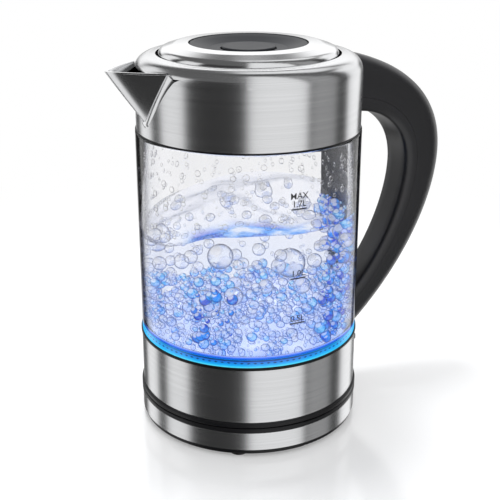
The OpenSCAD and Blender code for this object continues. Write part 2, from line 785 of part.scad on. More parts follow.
module latch_slide() color([0.85, 0.84, 0.8]) translate([0, 0, z_bolt]) difference() {
    frame_back = cone_r + travel + 1;
    union() {
        translate([-lid_r - 3, -bolt_half, 0]) cube([lid_r - 9, 2 * bolt_half, bolt_t]);
        translate([-frame_back - 3, -cone_r - 4, 0])
            cube([frame_back + 3 + stem_r + 3 + gap, 2 * cone_r + 8, bolt_t]);
    }
    translate([-frame_back, -cone_r - 1, -1])
        cube([frame_back + stem_r + gap, 2 * cone_r + 2, bolt_t + 2]);
}

base_bottom_cover();
base_feet();
base_screws();
base_band();
base_frame();
base_top_cover();
connector_post();
connector_contacts();
cord_grommet();
jug_socket();
socket_contacts();
bottom_cover();
bottom_screws();
lower_shell();
foot_seal();
light_ring();
light_board();
heating_plate();
heating_element();
thermostat_control();
switch_bracket();
glass_body();
top_seal();
collar();
collar_liner();
spout();
spout_filter();
handle_shell();
handle_cover();
handle_spine();
handle_screws();
switch_lever();
lid_ring();
lid_dish();
lid_tray();
lid_seal();
hinge_pin();
lid_spring();
lid_button();
button_spring();
latch_slide();
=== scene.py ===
import json
import math
import random

import bmesh
import bpy
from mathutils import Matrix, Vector, noise


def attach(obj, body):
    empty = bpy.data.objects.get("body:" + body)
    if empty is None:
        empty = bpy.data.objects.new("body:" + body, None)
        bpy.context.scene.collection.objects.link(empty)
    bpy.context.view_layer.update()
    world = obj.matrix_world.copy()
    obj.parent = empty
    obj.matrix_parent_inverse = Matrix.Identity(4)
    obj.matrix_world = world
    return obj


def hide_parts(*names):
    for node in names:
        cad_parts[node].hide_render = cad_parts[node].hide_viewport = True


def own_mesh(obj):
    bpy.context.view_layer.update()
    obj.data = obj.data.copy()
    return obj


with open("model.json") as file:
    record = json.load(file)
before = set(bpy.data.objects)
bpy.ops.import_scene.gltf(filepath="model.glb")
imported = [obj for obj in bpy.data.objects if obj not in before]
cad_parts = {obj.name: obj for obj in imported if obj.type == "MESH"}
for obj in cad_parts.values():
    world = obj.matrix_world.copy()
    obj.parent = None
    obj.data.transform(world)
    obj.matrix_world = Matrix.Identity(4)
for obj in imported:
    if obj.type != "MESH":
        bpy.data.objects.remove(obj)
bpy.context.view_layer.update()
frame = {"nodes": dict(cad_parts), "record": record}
mm = 0.001
nodes = frame["nodes"]


spans = {}


def span(name):  # lowest and highest corner of a node and its largest distance from the axis, mm
    if name not in spans:
        points = [v.co / mm for v in nodes[name].data.vertices]
        spans[name] = (
            Vector(min(p[i] for p in points) for i in range(3)), Vector(max(p[i] for p in points) for i in range(3)),
            max(math.hypot(p.x, p.y) for p in points))
    return spans[name]


def low(name):
    return span(name)[0]


def high(name):
    return span(name)[1]


def reach(name):
    return span(name)[2]


# each input takes a link from a socket, or a plain value
def setInputs(tree, made, inputs):
    for key, value in inputs.items():
        socket = made.inputs[key]
        if isinstance(value, bpy.types.NodeSocket):
            tree.links.new(value, socket)
        elif isinstance(value, (tuple, list)) and len(value) == 3 and socket.type == "RGBA":
            socket.default_value = (*value, 1)
        else:
            socket.default_value = value
    return made


def addNode(tree, kind, inputs=None, **settings):
    made = tree.nodes.new("ShaderNode" + kind)
    for key, value in settings.items():
        setattr(made, key, value)
    return setInputs(tree, made, inputs or {})


def ramp(tree, factor, stops, mode="LINEAR"):
    made = addNode(tree, "ValToRGB", {"Fac": factor})
    made.color_ramp.interpolation = mode
    while len(made.color_ramp.elements) < len(stops):
        made.color_ramp.elements.new(0.5)
    for element, (place, color) in zip(made.color_ramp.elements, stops):
        element.position = place
        element.color = (*color, 1) if isinstance(color, tuple) else (color, color, color, 1)
    return made.outputs["Color"]


def math1(tree, operation, a, b=0.0):
    return addNode(tree, "Math", {0: a, 1: b}, operation=operation).outputs[0]


# a value times one number plus another
def scaled(tree, value, factor, plus):
    return math1(tree, "ADD", math1(tree, "MULTIPLY", value, factor), plus)


# a value carried from the span start to stop on to the span first to last
def mapped(tree, value, start=0.0, stop=1.0, first=0.0, last=1.0, mode="LINEAR"):
    inputs = {"Value": value, 1: start, 2: stop, 3: first, 4: last}
    return addNode(tree, "MapRange", inputs, interpolation_type=mode).outputs[0]


def step(tree, value, start, stop):
    return mapped(tree, value, start, stop, mode="SMOOTHSTEP")


def noiseAt(tree, place, scale, detail, **more):
    return addNode(tree, "TexNoise", {"Vector": place, "Scale": scale, "Detail": detail, **more}).outputs[0]


def mixColor(tree, factor, a, b, mode="MIX"):
    return addNode(tree, "Mix", {0: factor, 6: a, 7: b}, data_type="RGBA", blend_type=mode).outputs[2]


def newGroup(name, inputs, outputs):
    group = bpy.data.node_groups.new(name, "ShaderNodeTree")
    for label, kind, value in inputs:
        socket = group.interface.new_socket(label, in_out="INPUT", socket_type="NodeSocket" + kind)
        socket.default_value = value
    for label, kind in outputs:
        group.interface.new_socket(label, in_out="OUTPUT", socket_type="NodeSocket" + kind)
    source = group.nodes.new("NodeGroupInput")
    sink = group.nodes.new("NodeGroupOutput")
    return group, source, sink


def closeGroup(group, sink, **results):
    setInputs(group, sink, results)
    return group


def useGroup(tree, group, **values):
    return addNode(tree, "Group", values, node_tree=group)


def startMaterial(name, roughness, color, **constants):
    material = bpy.data.materials.new(name)
    material.use_nodes = True
    tree = material.node_tree
    shader = tree.nodes["Principled BSDF"]
    setInputs(tree, shader, {"Base Color": color, "Roughness": roughness, **constants})
    return material, tree, shader


def objectPlace(tree):
    return addNode(tree, "TexCoord").outputs["Object"]


def dotWith(tree, value, direction):
    return addNode(tree, "VectorMath", {0: value, 1: direction}, operation="DOT_PRODUCT").outputs["Value"]


def bumpFrom(tree, shader, height, distance, strength=1.0):
    bump = addNode(tree, "Bump", {"Height": height, "Distance": distance, "Strength": strength})
    setInputs(tree, shader, {"Normal": bump.outputs[0]})


# fine lines drawn round the axis, as a brushing belt leaves them
def makeBrushing():
    group, source, sink = newGroup(
        "brushing",
        [("Fineness", "Float", 900.0), ("Length", "Float", 5.0), ("Contrast", "Float", 0.2)],
        [("Tone", "Float"), ("Rough", "Float")])
    split = addNode(group, "SeparateXYZ", {0: objectPlace(group)})
    x = math1(group, "MULTIPLY", split.outputs[0], source.outputs["Length"])
    y = math1(group, "MULTIPLY", split.outputs[1], source.outputs["Length"])
    z = math1(group, "MULTIPLY", split.outputs[2], source.outputs["Fineness"])
    stretched = addNode(group, "CombineXYZ", {0: x, 1: y, 2: z}).outputs[0]
    lines = noiseAt(group, stretched, 1.0, 3.0, Roughness=0.7)
    coarse = noiseAt(group, stretched, 0.23, 1.0)
    both = scaled(group, lines, 0.65, math1(group, "MULTIPLY", coarse, 0.35))
    tone = scaled(group, math1(group, "SUBTRACT", both, 0.5), source.outputs["Contrast"], 1.0)
    return closeGroup(group, sink, Tone=tone, Rough=both)


# moulded plastic: a fine grain, and slow changes of gloss from handling
def makeMoulding():
    group, source, sink = newGroup(
        "moulding",
        [("Grain", "Float", 2600.0), ("Gloss", "Float", 0.4), ("Spread", "Float", 0.15)],
        [("Height", "Float"), ("Rough", "Float"), ("Tone", "Float")])
    place = objectPlace(group)
    grain = noiseAt(group, place, source.outputs["Grain"], 2.0)
    centred = math1(group, "SUBTRACT", noiseAt(group, place, 38.0, 3.0, Roughness=0.6), 0.5)
    rough = scaled(group, centred, source.outputs["Spread"], source.outputs["Gloss"])
    return closeGroup(group, sink, Height=grain, Rough=rough, Tone=scaled(group, centred, 0.3, 1.0))


# lighter rubbed edges, from the angle between neighbouring faces
def makeEdgeWear():
    group, source, sink = newGroup(
        "edgeWear", [("Amount", "Float", 0.3), ("Breakup", "Float", 220.0)], [("Mask", "Float")])
    point = addNode(group, "NewGeometry").outputs["Pointiness"]
    speck = noiseAt(group, objectPlace(group), source.outputs["Breakup"], 3.0)
    mask = math1(group, "MULTIPLY", mapped(group, point, 0.52, 0.62), speck)
    return closeGroup(group, sink, Mask=math1(group, "MULTIPLY", mask, source.outputs["Amount"]))


# a bubble or a drop: a painted dark rim for the shade at its outline, a painted underside (light from below on the
# bubbles, shade on the drops), a painted highlight towards the key light, and a tint that differs from place to place
def makePaintedSkin():
    group, source, sink = newGroup(
        "skin",
        [("Facing", "Float", 0.5), ("Body", "Color", (1, 1, 1, 1)), ("Other", "Color", (0.8, 0.9, 1, 1)),
         ("Under", "Color", (0.2, 0.5, 1, 1)), ("Outline", "Color", (0.1, 0.15, 0.3, 1)),
         ("Start", "Float", 0.6), ("Depth", "Float", 0.7), ("Patches", "Float", 160.0), ("Clear", "Float", 0.1),
         ("PaintedGlint", "Float", 0.8)],
        [("Tint", "Color"), ("Cover", "Float")])
    coordinates = addNode(group, "TexCoord")
    patch = noiseAt(group, coordinates.outputs["Object"], source.outputs["Patches"], 2.0)
    body = mixColor(group, mapped(group, patch, 0.42, 0.58), source.outputs["Body"], source.outputs["Other"])
    # painted underside: lit blue on the bubbles and shaded grey on the drops, from the downward normal
    upward = addNode(group, "SeparateXYZ", {0: coordinates.outputs["Normal"]}).outputs[2]
    below = math1(group, "MULTIPLY", mapped(group, upward, -0.15, -0.8), source.outputs["Depth"])
    body = mixColor(group, below, body, source.outputs["Under"])
    start = source.outputs["Start"]
    # painted rim shade: darker towards the outline, from the facing ratio
    rim = mapped(group, source.outputs["Facing"], start, math1(group, "ADD", start, 0.36))
    tint = mixColor(group, rim, body, source.outputs["Outline"])
    cover = mapped(group, math1(group, "MAXIMUM", rim, below), first=source.outputs["Clear"])
    # painted highlight: white where the normal faces a fixed key-light direction
    toward = dotWith(group, coordinates.outputs["Normal"], (-0.58, -0.30, 0.76))
    paintedHighlight = math1(group, "MULTIPLY", mapped(group, toward, 0.80, 0.92), source.outputs["PaintedGlint"])
    tint = mixColor(group, paintedHighlight, tint, (1, 1, 1, 1))
    return closeGroup(group, sink, Tint=tint, Cover=math1(group, "MAXIMUM", cover, paintedHighlight))


brushing = makeBrushing()
moulding = makeMoulding()
edgeWear = makeEdgeWear()
skin = makePaintedSkin()
print("effects ready")


# turn and tilt in degrees, distances in m, lens in mm
cameraView = {"turn": 29.5, "tilt": 20.548, "away": 0.64106, "height": 0.3575, "lens": 71.97, "shift": 0.00296}


def brushedSteel(name, color, gloss, contrast, fineness=1500.0, turn=0.6):
    material, tree, shader = startMaterial(name, gloss, color, Metallic=1.0, Anisotropic=turn)
    lines = useGroup(tree, brushing, Fineness=fineness, Contrast=contrast)
    rough = scaled(tree, lines.outputs["Rough"], 0.08, gloss - 0.04)
    tint = mixColor(tree, 1.0, color, lines.outputs["Tone"], "MULTIPLY")
    setInputs(tree, shader, {"Base Color": tint, "Roughness": rough})
    bumpFrom(tree, shader, lines.outputs["Rough"], 0.00001, 0.12)
    return material


def polishedSteel(name, color, gloss):
    material, tree, shader = startMaterial(name, gloss, color, Metallic=1.0)
    wipe = useGroup(tree, moulding, Grain=300.0, Gloss=gloss, Spread=0.08)
    tint = mixColor(tree, 1.0, color, wipe.outputs["Tone"], "MULTIPLY")
    soft = mixColor(tree, 0.25, color, tint)
    setInputs(tree, shader, {"Base Color": soft, "Roughness": wipe.outputs["Rough"]})
    return material


def mouldedPlastic(name, color, gloss, grain=2600.0, depth=0.00002, wear=0.25, spread=0.12, shine=0.5):
    material, tree, shader = startMaterial(name, gloss, color, **{"Specular IOR Level": shine})
    mould = useGroup(tree, moulding, Grain=grain, Gloss=gloss, Spread=spread)
    worn = useGroup(tree, edgeWear, Amount=wear)
    tint = mixColor(tree, 1.0, color, mould.outputs["Tone"], "MULTIPLY")
    lighter = tuple(min(1.0, c * 2.2 + 0.03) for c in color)
    tint = mixColor(tree, worn.outputs["Mask"], tint, lighter)
    setInputs(tree, shader, {"Base Color": tint, "Roughness": mould.outputs["Rough"]})
    bumpFrom(tree, shader, mould.outputs["Height"], depth, 0.4)
    return material


def clearGlass(name, color, index, **constants):
    return startMaterial(name, 0.0, color, IOR=index, **{"Transmission Weight": 1.0}, **constants)


def facing(tree, blend=0.5):
    return addNode(tree, "LayerWeight", {"Blend": blend}).outputs["Facing"]


# clear glass with painted shade towards its outline, painted blue light at its foot, and faint smears
def bodyGlass():
    material, tree, shader = clearGlass("boroGlass", (1.0, 1.0, 1.0), 1.3)
    # painted shade: darker towards the outline, from the facing ratio
    edge = ramp(tree, facing(tree), [
        (0.0, (0.93, 0.93, 0.935)), (0.5, (0.925, 0.925, 0.935)), (0.62, (0.86, 0.87, 0.9)),
        (0.72, (0.30, 0.31, 0.35)), (0.8, (0.03, 0.03, 0.045))])
    height = addNode(tree, "SeparateXYZ", {0: objectPlace(tree)}).outputs[2]
    foot = low("glass_body").z * mm
    # painted light: the foot tinted blue as if lit by the ring below
    edge = mixColor(tree, mapped(tree, height, foot + 0.0022, foot + 0.001), edge, (0.03, 0.16, 0.80))
    smear = useGroup(tree, moulding, Grain=60.0, Gloss=0.02, Spread=0.03)
    rough = math1(tree, "MAXIMUM", math1(tree, "SUBTRACT", smear.outputs["Rough"], 0.02), 0.0)
    setInputs(tree, shader, {"Base Color": edge, "Roughness": rough})
    return material


# where the waterline has painted blue light: how near the front of the glass and how far to its side, m
paintedBlueWaterline = {"near": (0.030, 0.050), "beside": (0.048, 0.034)}


# boiling water with painted light from below: painted blue near the floor and along the waterline, pale lilac between,
# and painted shade on the surface's slopes
def boilingWater():
    material, tree, shader = clearGlass("boilingWater", (0.95, 0.96, 1.0), water["index"], **{
        "Coat Weight": 0.5, "Coat IOR": 1.33, "Coat Roughness": 0.02})
    coordinates = addNode(tree, "TexCoord")
    place = coordinates.outputs["Object"]
    foot = low("glass_body").z * mm
    share = mapped(tree, addNode(tree, "SeparateXYZ", {0: place}).outputs[2], foot, foot + 0.1)
    # painted light from below: bluer towards the floor
    depth = ramp(tree, share, [
        (0.0, (0.74, 0.82, 0.98)), (0.25, (0.78, 0.84, 0.98)),
        (0.45, (0.88, 0.90, 0.975)), (1.0, (0.945, 0.95, 0.985))])
    # painted shade: the surface darkens as its slopes turn from the view, from the facing ratio
    crest = ramp(tree, facing(tree), [
        (0.5, (0.97, 0.97, 0.985)), (0.64, (0.94, 0.94, 0.965)), (0.72, (0.80, 0.81, 0.86)),
        (0.82, (0.58, 0.60, 0.68)), (0.95, (0.2, 0.22, 0.3))])
    turn = math.radians(cameraView["turn"])
    near = dotWith(tree, place, (-math.sin(turn), -math.cos(turn), 0))
    beside = dotWith(tree, place, (math.cos(turn), -math.sin(turn), 0))
    near = mapped(tree, near, *paintedBlueWaterline["near"])
    beside = mapped(tree, math1(tree, "ABSOLUTE", beside), *paintedBlueWaterline["beside"])
    # painted blue light in patches along the front waterline
    patch = noiseAt(tree, place, 46.0, 4.0)
    blue = ramp(tree, patch, [
        (0.36, (0.0, 0.05, 0.70)), (0.47, (0.02, 0.20, 0.95)), (0.54, (0.25, 0.50, 1.0)), (0.62, (0.85, 0.9, 1.0))])
    crest = mixColor(tree, math1(tree, "MULTIPLY", near, beside), crest, blue)
    upward = addNode(tree, "SeparateXYZ", {0: coordinates.outputs["Normal"]}).outputs[2]
    top = math1(tree, "GREATER_THAN", upward, 0.3)
    setInputs(tree, shader, {"Base Color": mixColor(tree, top, depth, crest)})
    return material


# a thin film with painted light: it glows, and is clear in the middle and stronger towards its painted dark rim and
# its painted underside
def film(name, body, other, under, outline, start, depth, clear, glow, patches=160.0):
    # painted light: each film glows in its own tint, as if lit by the lamp ring
    material, tree, shader = startMaterial(name, 0.08, body, **{"Coat Weight": 1.0, "Emission Strength": glow})
    made = useGroup(tree, skin, Facing=facing(tree), Body=body, Other=other, Under=under, Outline=outline,
                    Start=start, Depth=depth, Patches=patches, Clear=clear)
    tint = made.outputs["Tint"]
    setInputs(tree, shader, {"Base Color": tint, "Emission Color": tint, "Alpha": made.outputs["Cover"]})
    return material


# colours of the film, its other patches, its underside (painted light from below on the bubbles, painted shade on the
# drops) and its outline (painted rim shade)
films = {
    "air": film("bubbleAir", (0.93, 0.94, 1.0), (0.62, 0.74, 1.0), (0.04, 0.28, 0.90), (0.02, 0.03, 0.10),
                start=0.36, depth=0.75, clear=0.02, glow=0.4),
    "bead": film("beadAir", (0.93, 0.95, 1.0), (0.20, 0.50, 0.98), (0.02, 0.22, 0.84), (0.01, 0.045, 0.26),
                 start=0.26, depth=0.62, clear=0.09, glow=0.46, patches=120.0),
    "cyan": film("beadCyan", (0.14, 0.74, 1.0), (0.01, 0.42, 0.98), (0.0, 0.20, 0.82), (0.0, 0.04, 0.32),
                 start=0.25, depth=0.8, clear=0.32, glow=0.5, patches=140.0),
    "deep": film("beadDeep", (0.005, 0.06, 0.62), (0.01, 0.34, 0.98), (0.0, 0.03, 0.42), (0.0, 0.01, 0.12),
                 start=0.3, depth=0.8, clear=0.8, glow=0.5, patches=150.0),
    "drop": film("dropWater", (0.93, 0.93, 0.94), (0.80, 0.80, 0.82), (0.16, 0.17, 0.19), (0.14, 0.14, 0.16),
                 start=0.34, depth=0.8, clear=0.02, glow=0.3)}


# the lit ring: a dark upper line, a blue band with a row of lamp dashes and a bright cyan foot
def litRing():
    lamps = {"count": 110, "foot": (0.10, 0.80, 1.0), "side": (0.0, 0.50, 1.0), "strength": 0.95}
    material, tree, shader = startMaterial("litRing", 0.25, (0.01, 0.04, 0.10))
    place = objectPlace(tree)
    split = addNode(tree, "SeparateXYZ", {0: place})
    share = mapped(tree, split.outputs[2], high("foot_seal").z * mm, low("glass_body").z * mm)
    ripple = math1(tree, "SUBTRACT", noiseAt(tree, place, 260.0, 2.0), 0.5)
    share = scaled(tree, ripple, 0.16, share)
    band = ramp(tree, share, [
        (0.0, lamps["foot"]), (0.22, (0.01, 0.50, 1.0)), (0.40, (0.004, 0.33, 0.88)),
        (0.66, (0.006, 0.20, 0.72)), (0.78, (0.01, 0.16, 0.70)), (0.9, (0.0, 0.01, 0.10))])
    band = mixColor(tree, mapped(tree, facing(tree), 0.2, 0.8), band, lamps["side"])
    angle = math1(tree, "ARCTAN2", split.outputs[1], split.outputs[0])
    turn = math1(tree, "MULTIPLY", angle, lamps["count"] / math.tau)
    across = math1(tree, "ABSOLUTE", math1(tree, "SUBTRACT", math1(tree, "FRACT", turn), 0.5))
    up = math1(tree, "ABSOLUTE", math1(tree, "SUBTRACT", share, 0.6))
    away = scaled(tree, across, 0.8, math1(tree, "MULTIPLY", up, 2.4))
    dash = math1(tree, "LESS_THAN", away, 0.25)
    color = mixColor(tree, dash, band, (0.0, 0.03, 0.16))
    setInputs(tree, shader, {"Emission Color": color, "Emission Strength": lamps["strength"]})
    return material


# the heating plate with painted light: it glows as if lit by the ring of lamps round it
def plateWithPaintedLight():
    material = brushedSteel("plateSteel", (0.62, 0.64, 0.70), 0.36, 0.15, fineness=5.0)
    tree = material.node_tree
    # painted light: a pale glow standing in for the ring's light on the plate
    glow = {"Emission Color": (0.82, 0.86, 0.95), "Emission Strength": 0.75}
    setInputs(tree, tree.nodes["Principled BSDF"], glow)
    return material


finish = {
    "brushed_steel": brushedSteel("brushedSteel", (0.62, 0.625, 0.635), 0.17, 0.42, turn=0.75),
    "polished_steel": polishedSteel("polishedSteel", (0.66, 0.665, 0.675), 0.16),
    "plate_steel": plateWithPaintedLight(),
    "glass": bodyGlass(),
    "light_guide": litRing(),
    "black_plastic": mouldedPlastic("blackPlastic", (0.012, 0.012, 0.014), 0.34, shine=0.22),
    "handle_plastic": mouldedPlastic("handlePlastic", (0.016, 0.016, 0.019), 0.34, spread=0.08),
    "dish_plastic": mouldedPlastic("dishPlastic", (0.030, 0.032, 0.037), 0.42, shine=0.08),
    "rubber": mouldedPlastic("blackRubber", (0.008, 0.008, 0.009), 0.42, grain=1200.0, wear=0.1, shine=0.2),
    "clear_silicone": mouldedPlastic("paleSilicone", (0.6, 0.61, 0.62), 0.45, wear=0.0),
    "heat_plastic": mouldedPlastic("heatPlastic", (0.72, 0.70, 0.64), 0.5),
    "circuit_board": mouldedPlastic("circuitBoard", (0.03, 0.17, 0.08), 0.35, wear=0.0),
    "contact_brass": polishedSteel("contactBrass", (0.78, 0.58, 0.30), 0.25),
    "element_alloy": brushedSteel("elementAlloy", (0.30, 0.26, 0.23), 0.5, 0.3, fineness=200.0, turn=0.0),
    "spring_steel": polishedSteel("springSteel", (0.62, 0.62, 0.64), 0.2),
    "screw_steel": polishedSteel("screwSteel", (0.55, 0.55, 0.58), 0.3),
}
for subpart in frame["record"]["subparts"]:
    shown = nodes[subpart["node"]]
    shown.data.materials.clear()
    shown.data.materials.append(finish[subpart["material_slot"]])
print("materials ready")


def newObject(name, data):
    made = bpy.data.objects.new(name, data)
    bpy.context.scene.collection.objects.link(made)
    return made


def newMesh(name, points, faces):
    mesh = bpy.data.meshes.new(name)
    mesh.from_pydata(points, [], faces)
    return newObject(name, mesh)


# a new piece from points in mm and faces
def makePiece(name, points, faces, slotName, body, replaced=(), material=None, smooth=True):
    piece = newMesh(name, [(p[0] * mm, p[1] * mm, p[2] * mm) for p in points], faces)
    if smooth:
        piece.data.shade_smooth()
    piece.data.materials.append(material or finish[slotName])
    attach(piece, body)
    if replaced:
        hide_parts(*replaced)
    return piece


def polar(r, a, z):
    return r * math.cos(a), r * math.sin(a), z


# quads between the points of neighbouring rows
def rowFaces(rows, across, closed=False, ring=True):
    faces = []
    for i in range(rows if closed else rows - 1):
        n = (i + 1) % rows
        for k in range(across if ring else across - 1):
            j = (k + 1) % across
            faces.append((i * across + k, n * across + k, n * across + j, i * across + j))
    return faces


# the flat ends of a tube of such rows
def endFaces(rows, across):
    return [tuple(range(across)), tuple(reversed(range((rows - 1) * across, rows * across)))]


def shifted(faces, start):
    return [tuple(start + k for k in face) for face in faces]


# corners of a closed outline rounded by arcs: corner = (r, z) or (r, z, radius)
def rounded(corners, steps=5):
    outline = []
    count = len(corners)
    for i, corner in enumerate(corners):
        here = Vector(corner[:2])
        radius = corner[2] if len(corner) > 2 else 0.0
        if radius <= 0:
            outline.append(here)
            continue
        before = (Vector(corners[i - 1][:2]) - here)
        after = (Vector(corners[(i + 1) % count][:2]) - here)
        half = before.angle(after) / 2
        taken = min(radius / math.tan(half), before.length * 0.49, after.length * 0.49)
        radius = taken * math.tan(half)
        start = here + before.normalized() * taken
        stop = here + after.normalized() * taken
        centre = here + (before.normalized() + after.normalized()).normalized() * radius / math.sin(half)
        first, last = start - centre, stop - centre
        sweep = math.atan2(first.x * last.y - first.y * last.x, first.dot(last))
        for k in range(steps + 1):
            a = sweep * k / steps
            outline.append(centre + Vector((
                first.x * math.cos(a) - first.y * math.sin(a), first.x * math.sin(a) + first.y * math.cos(a))))
    return outline


# a closed outline of (r, z) turned round the axis
def turned(name, outline, slotName, body, replaced=(), segments=192, material=None, sharp=28):
    points = []
    for i in range(segments):
        a = math.tau * i / segments
        points += [polar(p[0], a, p[1]) for p in outline]
    faces = rowFaces(segments, len(outline), closed=True)
    piece = makePiece(name, points, faces, slotName, body, replaced, material)
    cleanMesh(piece, sharp)
    return piece


def cleanMesh(piece, sharp=28):
    work = bmesh.new()
    work.from_mesh(piece.data)
    bmesh.ops.remove_doubles(work, verts=work.verts, dist=1e-6)
    bmesh.ops.dissolve_degenerate(work, edges=work.edges, dist=1e-7)
    bmesh.ops.recalc_face_normals(work, faces=work.faces)
    work.to_mesh(piece.data)
    work.free()
    piece.data.set_sharp_from_angle(angle=math.radians(sharp))


glassWall = {"wall": 2.6, "foot": 0.4, "rim": 1.1}


def buildGlass():
    r, z0, z1 = reach("glass_body"), low("glass_body").z, high("glass_body").z
    inner = r - glassWall["wall"]
    outline = rounded([
        (inner, z0, glassWall["foot"]), (r, z0, glassWall["foot"]),
        (r, z1, glassWall["rim"]), (inner, z1, glassWall["rim"])])
    turned("glassWall", outline, "glass", "jug", ["glass_body"], 256, sharp=60)


# height of the water along the glass, mm above the glass's foot: (turn from +X, height)
waterline = [(-180, 66.0), (-120, 82.0), (-75, 80.0), (-30, 84.0), (30, 76.0), (60, 74.5), (105, 68.0), (150, 62.0)]


# a smooth closed curve through the waterline's points
def edgeHeight(turn):
    total = weight = 0.0
    for place, height in waterline:
        apart = math.radians(turn - place)
        pull = math.exp(7 * (math.cos(apart) - 1))
        total += height * pull
        weight += pull
    return total / weight


water = {
    "index": 1.04,
    "level": 76.0,      # mean surface above the foot of the glass, mm
    "overlap": 0.12,    # how far it reaches into the glass, so that no air film shows
    "middle": 75.0, "floorLift": 2.45, "panGap": 0.95,
    "crest": 8.0, "crestAt": 20.0, "crestWide": 26.0, "swell": 3.4, "chop": 0.9,
    "rings": 40, "segments": 200, "wallSteps": 12}


# one broad crest across the middle, lower towards the glass, with small chop on it
def surfaceHeight(x, y, r):
    edge = min(1.0, math.hypot(x, y) / r)
    wide = 1 - edge ** 2
    crest = water["crest"] * wide * math.exp(-(((y - 0.25 * x - water["crestAt"]) / water["crestWide"]) ** 2))
    small = noise.noise(Vector((x * 0.07, y * 0.07, 7.7))) * water["chop"] * 2
    swell = noise.noise(Vector((x * 0.03, y * 0.03, 2.2))) * water["swell"] * 2 * wide
    side = edgeHeight(math.degrees(math.atan2(y, x))) * edge ** 1.5 + water["middle"] * (1 - edge ** 1.5)
    return side - water["level"] + crest + swell + small * (0.35 + 0.65 * wide) + 1.0 * edge ** 20


def buildWater():
    foot = low("glass_body").z
    inner = reach("glass_body") - glassWall["wall"] + water["overlap"]
    pan = reach("heating_plate") - water["panGap"]
    floor = high("heating_element").z + water["floorLift"]
    top = foot + water["level"]
    panTop = high("heating_plate").z
    profile = [(0, floor), (pan * 0.5, floor), (pan, floor), (pan, panTop), (inner, panTop + 0.2)]
    steps = water["wallSteps"]
    profile += [(inner, foot + (water["level"] * k) / steps) for k in range(1, steps + 1)]
    sideCount = len(profile)
    profile += [(inner * (1 - k / water["rings"]), top) for k in range(1, water["rings"] + 1)]
    points = []
    for i in range(water["segments"]):
        a = math.tau * i / water["segments"]
        for k, (r, z) in enumerate(profile):
            x, y = r * math.cos(a), r * math.sin(a)
            lift = surfaceHeight(x, y, inner) if k >= sideCount - 1 else 0
            points.append((x, y, z + lift))
    faces = rowFaces(water["segments"], len(profile), closed=True, ring=False)
    piece = makePiece("boilingWater", points, faces, "glass", "jug", material=boilingWater())
    cleanMesh(piece, 85)
    return inner


# the points and faces of a work mesh, which is then let go
def takeMesh(work):
    points = [tuple(v.co) for v in work.verts]
    faces = [tuple(v.index for v in f.verts) for f in work.faces]
    work.free()
    return points, faces


# many small balls or drops as one mesh: each is (centre, radii along out, round, up)
def blobs(name, entries, material, body, subdivisions=2):
    work = bmesh.new()
    bmesh.ops.create_icosphere(work, subdivisions=subdivisions, radius=1.0)
    ball, ballFaces = takeMesh(work)
    points, faces = [], []
    for centre, radii in entries:
        distance = math.hypot(centre[0], centre[1]) or 1.0
        c, s = centre[0] / distance, centre[1] / distance
        start = len(points)
        for x, y, z in ball:
            out, around = x * radii[0], y * radii[1]
            points.append((centre[0] + out * c - around * s, centre[1] + out * s + around * c,
                           centre[2] + z * radii[2]))
        faces += shifted(ballFaces, start)
    return makePiece(name, points, faces, "glass", body, material=material)


# large bubbles near the glass: (turn from the front, height above the glass's foot, radius)
bigBubbles = [
    (-91, 50, 4.8), (-63, 63, 4.5), (-46, 65, 8.3), (-24, 72, 4.1), (-35, 62, 3.4), (-25, 62, 3.4), (-12, 67, 4.1),
    (-4, 59, 9.7), (-13, 60, 4.8), (10, 59, 4.8), (30, 51, 5.5), (-78, 65, 3.1), (-83, 70, 3.4), (-20, 47, 4.8),
    (-56, 31, 9.7), (-70, 58, 5.0), (-38, 40, 6.2), (2, 44, 5.6), (48, 60, 5.0), (75, 55, 6.0), (110, 58, 5.2),
    (140, 62, 6.5), (165, 52, 4.6), (-110, 60, 5.5), (-135, 48, 6.8), (-155, 62, 4.4), (95, 40, 5.2), (-120, 38, 4.6)]
# those that rise under the surface: (x, y, height above the glass's foot, radius)
risingBubbles = [
    (-6, -8, 82, 3.4), (6, -12, 79, 4.5), (-18, -20, 74, 2.8), (14, -22, 73, 2.8), (-42, -24, 68, 3.4),
    (30, 0, 80, 2.1), (38, -18, 76, 5.0), (-2, -30, 70, 3.0), (22, 12, 76, 3.6), (-25, 8, 70, 3.2), (0, 20, 78, 3.0)]
# mm; gaps are to the glass; dark rows hold first and last turn, lowest and highest above the foot, count
bubbles = {
    "count": 1500, "small": 0.8, "large": 4.0, "wallShare": 0.5, "full": 33.0, "lean": 0.72, "cyan": 0.24,
    "loose": 150, "pan": 900, "panDrop": 5.5, "under": 5.0, "gap": 0.9, "looseGap": 1.2, "bigGap": 2.2,
    "dark": [(-24, 8, 36, 70, 120), (-76, -46, 3, 58, 80), (-150, -128, 4, 46, 40)]}


# true for most beads in the gaps that show the bright pan
def sparse(x, y, z):
    return random.random() < 0.85 and noise.noise(Vector((x * 0.075, y * 0.075, z * 0.09))) > 0.1


